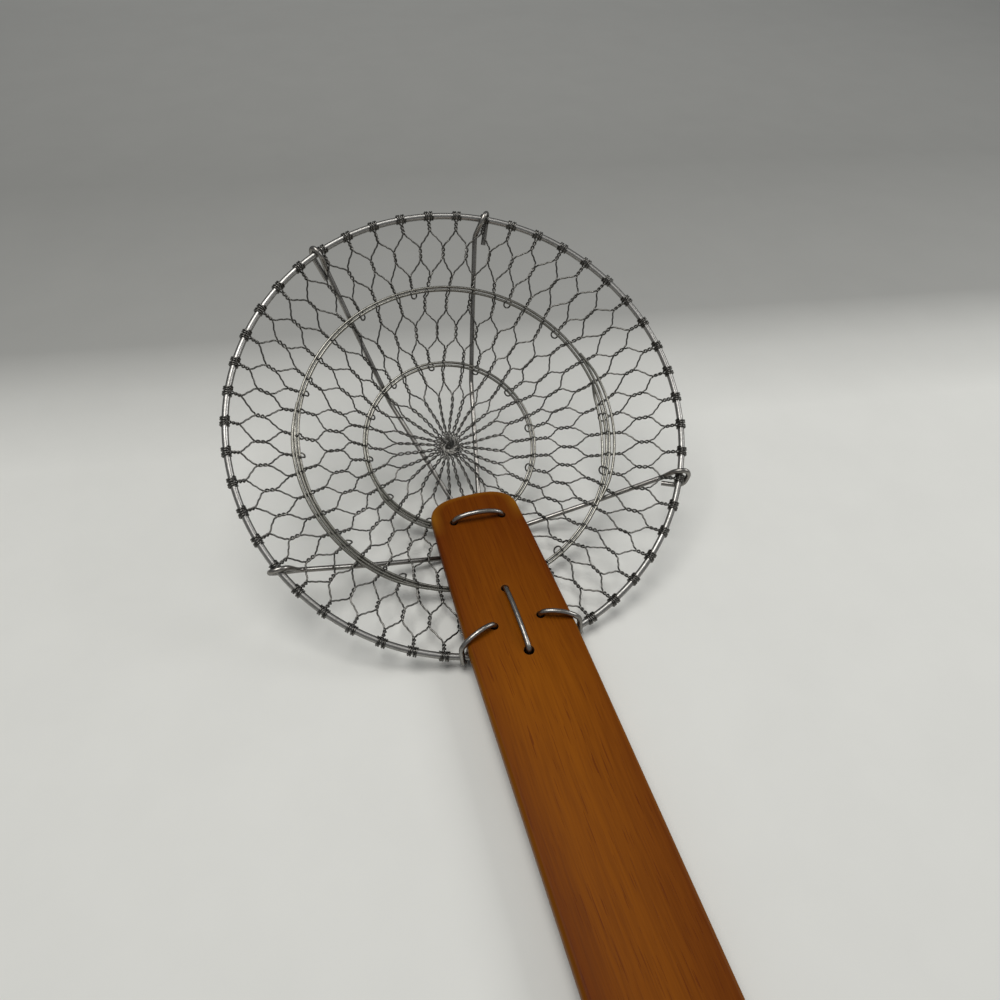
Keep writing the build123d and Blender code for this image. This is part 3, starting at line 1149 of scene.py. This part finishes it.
    def single_wire(
        self, pair: Pair, following: Pair, swing: float, side: int, dice: random.Random,
    ) -> Route:
        """Return a wire's points between two pairs, where it runs on its own.

        Args:
            pair: The pair that it leaves.
            following: The pair that it joins.
            swing: Change of bearing between them, in degrees.
            side: Side to which the wire works its way, 1 or -1.
            dice: Source of the chance in the wire's bends.

        Returns:
            Control points in the scene.
        """
        widest, waver, crowding = 0.35, 0.12, -0.12
        bends = ((0.14, 0.13), (0.38, 0.44), (0.62, 0.56), (0.86, 0.87))
        width = following.outer - pair.inner
        bulge = dice.uniform(-widest, widest)
        return [
            self.spot(
                pair.inner + width * (share + (share - 0.5) * crowding),
                pair.bearing + swing * sweep,
                side * self.spread * (1 - 2 * share) + bulge * (1 - abs(2 * share - 1)),
                dice.uniform(-waver, waver),
            )
            for share, sweep in bends
        ]

    def wire_route(self, zone: Zone, column: int, side: int, dice: random.Random) -> Route:
        """Return the whole route of one wire through a zone.

        Args:
            zone: The zone.
            column: Column in which the wire starts.
            side: Side to which the wire works its way, 1 or -1.
            dice: Source of the chance in the wire's bends.

        Returns:
            Control points in the scene.
        """
        entry_reach, entry_pull, exit_reach, exit_pull = -0.9, 0.55, 1.4, 0.7
        lift = self.over_lift if side > 0 else self.under_lift
        swing = side * (360.0 / zone.columns) / 2
        last = len(zone.rows) - 1
        pairs = [self.pair(zone, number, column, side) for number in range(last + 1)]
        route: Route = []
        for number, (row, pair) in enumerate(zip(zone.rows, pairs)):
            start = finish = pair.bearing
            if number == 0 and zone.ring == 0:
                route += self.wrap(pair.bearing, -side)
            elif number == 0:
                entry, _ = self.at_hoop(zone.ring - 1, pair.bearing, outside=False)
                route += self.crossing(zone.outer, entry, -side, entry_reach, lift)
                start = pair.bearing + (entry - pair.bearing) * entry_pull
            links = number == last and zone.inner > 0
            if links:
                wrapped = (pair.bearing + 180.0) % 360.0 - 180.0
                link, hung = self.at_hoop(zone.ring, wrapped, outside=True)
                finish = pair.bearing + (link - wrapped) * (0.0 if hung else exit_pull)
            route += self.twist(pair, start, finish, row.lobes, -side, 1 if number % 2 else -1)
            if number < last:
                route += self.single_wire(pair, pairs[number + 1], swing, side, dice)
            elif not links:
                route += self.hub(pair.bearing, side, pair.inner)
            elif hung:
                route += self.loop(pair.bearing, zone.inner, side)
            else:
                joint = pair.bearing + (link - wrapped)
                route += self.crossing(zone.inner, joint, side, exit_reach, lift)[::-1]
        return route

    def knot_route(self) -> Route:
        """Work out the knot twisted under the hub.

        Returns:
            Control points in the scene.
        """
        count, start, closing, turn, depth, sink = 30, 1.5, 1.2, 26.0, 1.4, 0.5
        return [
            self.spot(start - closing * index / count, turn * index, 0.0, -depth - sink * index / count)
            for index in range(count + 1)
        ]

    def build(self) -> None:
        """Make and dress the three zones of the netting and the knot at the hub."""
        steel = self.finish.make()
        for zone in self.zones:
            dice = random.Random(zone.seed)
            ways = [(column, side) for column in range(zone.columns) for side in (-1, 1)]
            routes = [self.wire_route(zone, column, side, dice) for column, side in ways]
            name = f"{zone.node}_wires"
            wire_piece(name, routes, self.wire, self.sides, steel, zone.node, order=3, steps=2)
        wire_piece("hub_knot", [self.knot_route()], self.knot_wire, self.knot_sides, steel, steps=2)


# Handle


@dataclass
class Handle:
    """Flat slat of bamboo with a crowned tip, rounded ends and drilled holes."""

    crossing: float = 30.033
    underside: float = 6.917
    thickness: float = 5.5
    width: float = 40.6
    tip_width: float = 36.2
    past_rim: float = 212.0
    tip_inside: float = 72.3
    tip_square: float = 3.0
    tip_bow: float = 10.0
    tip_taper: float = 24.0
    tip_shoulder: float = 0.75
    end_corner: float = 13.0
    edge_round: float = 1.5
    hang_hole: float = 3.5
    hang_inset: float = 15.0
    wire_hole: float = 1.6
    stitch_hole: float = 1.95
    staple_inside: float = 57.8
    staple_skew: float = 0.65
    staple_spacing: float = 19.8
    stitch_inside: float = 22.0
    stitch_outside: float = 5.6
    binding_inside: float = 7.2
    binding_spacing: float = 17.6
    finish: BambooFinish = BambooFinish("bamboo_caramel")
    hole_shade: HoleShadeFinish = HoleShadeFinish("bamboo_hole_shade")
    splinter: BambooFinish = BambooFinish(
        "bamboo_splinter", golden=(0.33, 0.15, 0.035), amber=(0.22, 0.085, 0.015), brown=(0.12, 0.035, 0.006)
    )

    @property
    def face(self) -> float:
        """Return the height of the slat's upper face."""
        return self.underside + self.thickness

    def holes(self) -> list[Triple]:
        """List the holes.

        Returns:
            The across and lengthwise place and the radius of each.
        """
        holes = [
            (0.0, self.crossing - self.past_rim + self.hang_inset, self.hang_hole),
            (0.0, self.crossing - self.stitch_outside, self.stitch_hole),
            (0.0, self.crossing + self.stitch_inside, self.wire_hole),
        ]
        for side in (-0.5, 0.5):
            skewed = self.staple_inside - 2 * side * self.staple_skew
            holes.append((side * self.staple_spacing, self.crossing + skewed, self.wire_hole))
            holes.append((side * self.binding_spacing, self.crossing + self.binding_inside, self.wire_hole))
        return holes

    def outline(self) -> list[tuple[float, float]]:
        """Draw the slat's outline in plan, with its corners rounded.

        Returns:
            The across and lengthwise place of each point.
        """
        crown_steps, corner_steps = 26, 8
        tip = self.crossing + self.tip_inside
        end = self.crossing - self.past_rim
        half, narrow = self.width / 2, self.tip_width / 2
        crown = []
        for index in range(crown_steps + 1):
            turn = math.pi * index / crown_steps
            across = math.copysign(abs(math.cos(turn)) ** (2 / self.tip_square), math.cos(turn))
            crown.append((narrow * across, tip - self.tip_bow * (1 - math.sin(turn))))
        left = [(-narrow - self.tip_shoulder, tip - self.tip_taper), (-half, self.crossing)]
        for index in range(corner_steps + 1):
            turn = math.pi / 2 * index / corner_steps
            inset, above = (self.end_corner * (1 - share) for share in (math.cos(turn), math.sin(turn)))
            left.append((-half + inset, end + above))
        return crown + left + [(-across, along) for across, along in left[::-1]]

    def build(self) -> None:
        """Make and dress the slat and the lips of its holes."""
        mesh = bmesh.new()
        base = [mesh.verts.new((x * MM, y * MM, self.underside * MM)) for x, y in self.outline()]
        face = mesh.faces.new(base)
        bmesh.ops.recalc_face_normals(mesh, faces=[face])
        grown = bmesh.ops.extrude_face_region(mesh, geom=[face])
        lifted = [item for item in grown["geom"] if isinstance(item, bmesh.types.BMVert)]
        bmesh.ops.translate(mesh, verts=lifted, vec=(0, 0, self.thickness * MM))
        bmesh.ops.recalc_face_normals(mesh, faces=mesh.faces)
        level, flat = 0.9, 0.999
        lids = [face for face in mesh.faces if abs(face.normal.z) > level]
        edges = list({edge for face in lids for edge in face.edges})
        bmesh.ops.bevel(
            mesh, geom=edges, offset=self.edge_round * MM, segments=4, profile=0.5,
            affect="EDGES", material=-1, clamp_overlap=True,
        )
        piece = add_mesh("handle_slat", mesh)
        self.drill(piece)
        finish_piece(piece, self.finish.make(), Slot.BAMBOO, "handle")
        # Second slot, for the walls of the holes: painted shade
        piece.data.materials.append(self.hole_shade.make())
        for polygon in piece.data.polygons:
            polygon.use_smooth = abs(polygon.normal.z) < flat
            polygon.material_index = int(self.in_hole(polygon))
        self.lips()

    def in_hole(self, polygon: bpy.types.MeshPolygon) -> bool:
        """Return whether a face of the slat lies in one of its holes.

        Args:
            polygon: The face.

        Returns:
            True for the upright faces near a hole's middle.
        """
        upright, margin = 0.5, 1.05
        if abs(polygon.normal.z) > upright:
            return False
        x, y = polygon.center.x / MM, polygon.center.y / MM
        return any(
            math.hypot(x - across, y - along) < radius * margin for across, along, radius in self.holes()
        )

    def lips(self) -> None:
        """Make the pale splintered lips round the holes in the slat's upper face."""
        seed, sides, least, fray, splinter, pointed = 41, 28, 0.10, 0.12, 0.32, 4
        overlap, sunk, proud = 0.04, 0.12, 0.012
        dice = random.Random(seed)
        mesh = bmesh.new()
        for across, along, radius in self.holes():
            inner, outer = [], []
            chip = dice.uniform(0, math.tau)
            for index in range(sides):
                turn = math.tau * index / sides
                chipped = splinter * max(0.0, math.cos(turn - chip)) ** pointed
                ragged = least + dice.uniform(0, fray) + chipped
                direction = Vector((math.cos(turn), math.sin(turn)))
                near = direction * (radius - overlap)
                far = direction * (radius + ragged)
                low = Vector((across + near.x, along + near.y, self.face - sunk))
                high = Vector((across + far.x, along + far.y, self.face + proud))
                inner.append(mesh.verts.new(low * MM))
                outer.append(mesh.verts.new(high * MM))
            for index in range(sides):
                after = (index + 1) % sides
                mesh.faces.new([inner[index], outer[index], outer[after], inner[after]])
        bmesh.ops.recalc_face_normals(mesh, faces=mesh.faces)
        piece = add_mesh("hole_lips", mesh)
        if piece.data.polygons[0].normal.z < 0:
            piece.data.flip_normals()
        finish_piece(piece, self.splinter.make(), Slot.BAMBOO)

    def drill(self, piece: bpy.types.Object) -> None:
        """Cut the holes through the slat and keep the cut mesh.

        Args:
            piece: The slat.
        """
        mesh = bmesh.new()
        for across, along, radius in self.holes():
            middle = Matrix.Translation(Vector((across, along, self.underside + self.thickness / 2)) * MM)
            bmesh.ops.create_cone(
                mesh, cap_ends=True, segments=32, radius1=radius * MM, radius2=radius * MM,
                depth=3 * self.thickness * MM, matrix=middle,
            )
        cutter = add_mesh("hole_cutters", mesh)
        cut = piece.modifiers.new("holes", "BOOLEAN")
        cut.operation = "DIFFERENCE"
        cut.solver = "EXACT"
        cut.object = cutter
        drilled = bpy.data.meshes.new_from_object(piece.evaluated_get(bpy.context.evaluated_depsgraph_get()))
        piece.modifiers.remove(cut)
        piece.data = drilled
        bpy.data.objects.remove(cutter)


# Support wires, stitch and bindings


@dataclass(frozen=True)
class HookShape:
    """Hook round the rim: bearings of its leg, its bends and its cut end, and its sizes."""

    rise: float
    over: float
    below: float
    end: float
    loop: float
    tail: float
    drop: float


@dataclass
class SupportWires:
    """Stout wires under the bowl, hooked over its rim, and the bindings of the handle."""

    basket: Basket
    handle: Handle
    wire: float = 2.0
    sides: int = 12
    bend: float = 4.2
    tail: float = 5.5
    seat_gap: float = 0.1
    net_thickness: float = 0.8
    rim_height: float = 3.715
    staple_rise: float = 3.6
    stitch_rise: float = 2.2
    arch_start: float = 0.4
    hook_slot: float = 5.2
    left_reach: float = 46.3
    right_reach: float = 40.4
    level_half: float = 10.5
    leg_spread: float = 5.0
    far_touches: tuple[float, float] = (0.1, 0.36)
    side_touches: tuple[float, float] = (0.2, 0.66)
    binding_rise: float = 3.4
    binding_tail: float = 8.0
    binding_drop: float = 2.0
    binding_bottom: float = 2.8
    binding_gap: float = 1.1
    binding_loop: float = 2.05
    binding_slant: float = 2.1
    binding_turn: float = 1.2
    binding_reach: float = 5.0
    far_left: HookShape = HookShape(-152.4, -152.1, -151.5, -151.2, 2.35, 9.5, 1.6)
    far_right: HookShape = HookShape(163.2, 161.0, 160.5, 160.4, 2.35, 9.5, 0.6)
    side_left: HookShape = HookShape(-60.5, -63.5, -63.7, -60.0, 2.7, 9.5, 2.3)
    side_right: HookShape = HookShape(64.2, 65.9, 62.8, 62.5, 3.0, 8.2, 0.5)
    finish: SteelFinish = SteelFinish(
        "steel_support", bright=(0.40, 0.385, 0.36), dull=(0.17, 0.16, 0.145), gloss=0.22, cloud_scale=120.0
    )

    def net_seat(self, across: float, inward: float) -> float:
        """Return the height of a wire's middle that lies under the net.

        Args:
            across: Place right of the basket's axis.
            inward: Place away from the handle.

        Returns:
            The height over the rim's plane.
        """
        under = self.net_thickness / 2 + self.seat_gap + self.wire / 2
        steep = math.atan2(self.basket.outer_hoop[1], self.basket.rim_radius - self.basket.outer_hoop[0])
        shift = self.basket.shift(math.hypot(across, inward))
        radius = math.hypot(across - shift[0], inward - shift[1])
        return -self.basket.sharp_depth(radius) - under / math.cos(steep)

    def plan(self, radius: float, bearing: float) -> Vector:
        """Return a point of the rim's plane by its radius and bearing."""
        turn = math.radians(bearing)
        return Vector((radius * math.sin(turn), -radius * math.cos(turn)))

    def hook(self, shape: HookShape) -> Route:
        """Return the corners of a hook round the rim.

        Args:
            shape: The hook's bearings and sizes.

        Returns:
            Corners in the scene, from the cut tail inwards.
        """
        outside = self.basket.rim_radius + shape.loop
        tail = self.plan(outside - shape.tail, shape.end)
        inside = self.plan(self.basket.rim_radius - shape.loop, (shape.rise + shape.over) / 2)
        return [
            self.basket.place(*tail, self.net_seat(*tail) - shape.drop),
            self.basket.round(outside, shape.below, -shape.loop),
            self.basket.round(outside, shape.over, shape.loop),
            self.basket.place(*inside, shape.loop),
        ]

    def leg(self, shape: HookShape, finish: Vector, shares: tuple[float, ...], level: float) -> Route:
        """Return the corners of a leg whose runs touch the net from below.

        Args:
            shape: Hook at the leg's upper end.
            finish: Plan point where the leg goes level.
            shares: Shares of the leg's length where its runs touch.
            level: Height of the level run.

        Returns:
            Corners in the scene, the leg's end left out.
        """
        start = self.plan(self.basket.rim_radius - self.hook_slot, shape.rise)
        run = finish - start
        step = 0.001
        lines = []
        for share in shares:
            places = (share - step, share, share + step)
            near, here, far = (self.net_seat(*(start + run * place)) for place in places)
            rate = (far - near) / (2 * step)
            lines.append((here - rate * share, rate))
        lines.append((level, 0.0))
        corners = [self.basket.place(*start, lines[0][0])]
        for (height, rate), (next_height, next_rate) in zip(lines, lines[1:]):
            share = (next_height - height) / (rate - next_rate)
            corners.append(self.basket.place(*(start + run * share), height + rate * share))
        return corners

    def on_handle(self, across: float, outward: float, height: float) -> Vector:
        """Return a point right of the handle's middle, past the rim, at a height."""
        return Vector((across, self.handle.crossing - outward, height)) * MM

    def arch(self, start: Vector, finish: Vector, rise: float) -> Route:
        """Return points of a low arch.

        Args:
            start: Where it begins.
            finish: Where it ends.
            rise: How far it rises, in millimetres.

        Returns:
            Points in the scene.
        """
        count = 8
        route = []
        for index in range(count + 1):
            turn = math.pi * index / count
            up = Vector((0, 0, rise * MM * math.sin(turn)))
            route.append(start.lerp(finish, (1 - math.cos(turn)) / 2) + up)
        return route

    def far_route(self) -> Route:
        """Lead the wire from the far rim up through the handle's tip and back.

        Returns:
            Its corners in the scene.
        """
        foot_radius = self.basket.floor[0]
        level = self.net_seat(foot_radius, 0.0)
        halves, ends = [], []
        for side, shape in zip((-1, 1), (self.far_left, self.far_right)):
            foot = Vector((side * self.leg_spread, -foot_radius))
            across = side * (self.handle.staple_spacing / 2)
            inside = -self.handle.staple_inside + side * self.handle.staple_skew
            below = [self.basket.place(*foot, level), self.on_handle(across, inside, self.wire / 2)]
            halves.append(self.hook(shape) + self.leg(shape, foot, self.far_touches, level) + below)
            ends.append(self.on_handle(across, inside, self.handle.face + self.arch_start))
        return halves[0] + self.arch(*ends, self.staple_rise) + halves[1][::-1]

    def side_route(self) -> Route:
        """Lead the wire that runs across under the handle's tip.

        Returns:
            Its corners in the scene.
        """
        lean = math.radians(self.basket.lean)
        halves = []
        hooks = ((-1, self.side_left, self.left_reach), (1, self.side_right, self.right_reach))
        for side, shape, reach in hooks:
            drop = self.wire / 2 - self.rim_height - (self.basket.rim_radius - reach) * math.sin(lean)
            inner = Vector((side * self.level_half, -reach))
            level = drop / math.cos(lean)
            halves.append(self.hook(shape) + self.leg(shape, inner, self.side_touches, level))
        return halves[0] + halves[1][::-1]

    def stitch_route(self) -> Route:
        """Lead the stitch over the handle's middle.

        Returns:
            Its corners in the scene.
        """
        ground = self.wire / 2
        out, inside = self.handle.stitch_outside, -self.handle.stitch_inside
        ends = [self.on_handle(0, place, self.handle.face + self.arch_start) for place in (out, inside)]
        return [
            self.on_handle(0, -self.tail, ground),
            self.on_handle(0, out, ground),
            *self.arch(*ends, self.stitch_rise),
            self.on_handle(0, inside, ground),
            self.on_handle(0, inside + self.tail, ground),
        ]

    def binding_route(self, side: Side) -> Route:
        """Return the corners of one binding round the handle's edge and the rim.

        Args:
            side: Side of the handle.

        Returns:
            Corners in the scene, from the cut end under the handle.
        """
        ground = self.wire / 2
        lean = math.radians(self.basket.lean)
        hole = self.handle.binding_spacing / 2
        inside = -self.handle.binding_inside
        edge = self.handle.width / 2 + self.wire / 2 + self.binding_gap
        curve = self.basket.rim_radius - math.sqrt(self.basket.rim_radius**2 - edge**2)
        slant = self.binding_slant * (self.basket.rim_wire / 2 + self.seat_gap + self.wire / 2)
        outside = self.binding_loop / math.cos(lean) - curve * math.cos(lean)
        rim_level = self.rim_height + curve * math.sin(lean)
        top = self.arch(
            self.on_handle(side.value * hole, inside, self.handle.face + self.arch_start),
            self.on_handle(side.value * edge, inside + slant, self.handle.face - self.binding_drop),
            self.binding_rise,
        )
        below = (
            (edge, outside - self.wire / 2, rim_level + self.wire),
            (edge, outside, rim_level - self.wire / 4),
            (edge - self.wire / 4, outside - self.binding_turn, self.binding_bottom),
            (edge - self.binding_reach, outside - self.binding_tail, ground),
        )
        return [
            self.on_handle(side.value * (hole - self.tail), inside, ground),
            self.on_handle(side.value * hole, inside, ground),
            *top,
            *(self.on_handle(side.value * across, out, height) for across, out, height in below),
        ]

    def build(self) -> None:
        """Make and dress the support wires, the stitch and the bindings."""
        steel = self.finish.make()
        routes = {
            "far_support_wire": self.far_route(),
            "side_support_wire": self.side_route(),
            "centre_stitch": self.stitch_route(),
            "rim_binding_left": self.binding_route(Side.LEFT),
            "rim_binding_right": self.binding_route(Side.RIGHT),
        }
        for node, corners in routes.items():
            route = bent_route(corners, self.bend)
            wire_piece(f"{node}_round", [route], self.wire, self.sides, steel, node, order=2)


# Stage


@dataclass(frozen=True)
class Lamp:
    """Square soft lamp: its place and side in metres, its power and its colour."""

    name: str
    place: Triple
    size: float
    power: float
    colour: Colour


@dataclass
class Studio:
    """Pale table, soft lamps and the camera."""

    # Start line of the floor's painted shade of the backdrop, in millimetres
    shade_start_left: tuple[float, float] = (-120.0, 170.0)
    shade_start_right: tuple[float, float] = (212.0, 121.0)
    half_floor: float = 2500.0
    paper: FloorFinish = FloorFinish("floor_paper")
    aim: Triple = (0.0, 0.06, 0.03)
    lamps: tuple[Lamp, ...] = (
        Lamp("key", (-0.16, 0.13, 1.0), 0.6, 6.0, (1.0, 0.99, 0.97)),
        Lamp("fill", (0.8, 0.0, 0.6), 0.4, 2.4, (1.0, 1.0, 1.0)),
    )
    room: Colour = (0.80, 0.82, 0.84)
    room_light: float = 0.24
    camera_place: Triple = (-58.0, -102.68, 241.76)
    camera_turn: Triple = (42.404, -1.681, -17.564)
    lens: float = 27.047
    sensor: float = 36.0

    def floor(self) -> None:
        """Make the flat sheet of paper under the skimmer."""
        left, right = Vector((*self.shade_start_left, 0)), Vector((*self.shade_start_right, 0))
        along = (right - left).normalized()
        away = Vector((-along.y, along.x, 0))
        mesh = bmesh.new()
        bmesh.ops.create_grid(mesh, x_segments=4, y_segments=4, size=self.half_floor * MM)
        piece = add_mesh("floor_sheet", mesh)
        piece.data.materials.append(self.paper.make(left, away))

    def light(self, lamp: Lamp) -> None:
        """Hang a lamp and aim it at the skimmer.

        Args:
            lamp: The lamp's place, side, power and colour.
        """
        data = bpy.data.lights.new(lamp.name, "AREA")
        data.shape = "SQUARE"
        data.size = lamp.size
        data.energy = lamp.power
        data.color = lamp.colour
        light = add_object(lamp.name, data)
        light.location = lamp.place
        light.rotation_euler = (Vector(self.aim) - Vector(lamp.place)).to_track_quat("-Z", "Y").to_euler()

    def camera(self) -> None:
        """Put the camera where the photograph was taken from."""
        data = bpy.data.cameras.new("camera")
        data.lens = self.lens
        data.sensor_width = self.sensor
        data.clip_start = 0.01
        data.clip_end = 50.0
        camera = add_object("camera", data)
        camera.location = Vector(self.camera_place) * MM
        camera.rotation_euler = Euler([math.radians(angle) for angle in self.camera_turn], "XYZ")
        bpy.context.scene.camera = camera

    def build(self) -> None:
        """Set up the stage, the lamps, the world and the camera."""
        self.floor()
        for lamp in self.lamps:
            self.light(lamp)
        world = bpy.data.worlds.new("soft_room")
        world.use_nodes = True
        backing = world.node_tree.nodes["Background"]
        Nodes(world.node_tree).feed(backing.inputs, {"Color": self.room, "Strength": self.room_light})
        bpy.context.scene.world = world
        bpy.context.scene.view_settings.view_transform = "Standard"
        self.camera()
        log.info("set the stage, two lamps and the camera")


def main() -> None:
    """Build the skimmer's sub-assemblies in order."""
    logging.basicConfig(level=logging.INFO, format="%(message)s")
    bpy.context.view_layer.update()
    basket = Basket()
    handle = Handle()
    Studio().build()
    Rim(basket).build()
    Netting(basket).build()
    handle.build()
    SupportWires(basket, handle).build()
    bpy.context.view_layer.update()


if __name__ == "__main__":
    main()
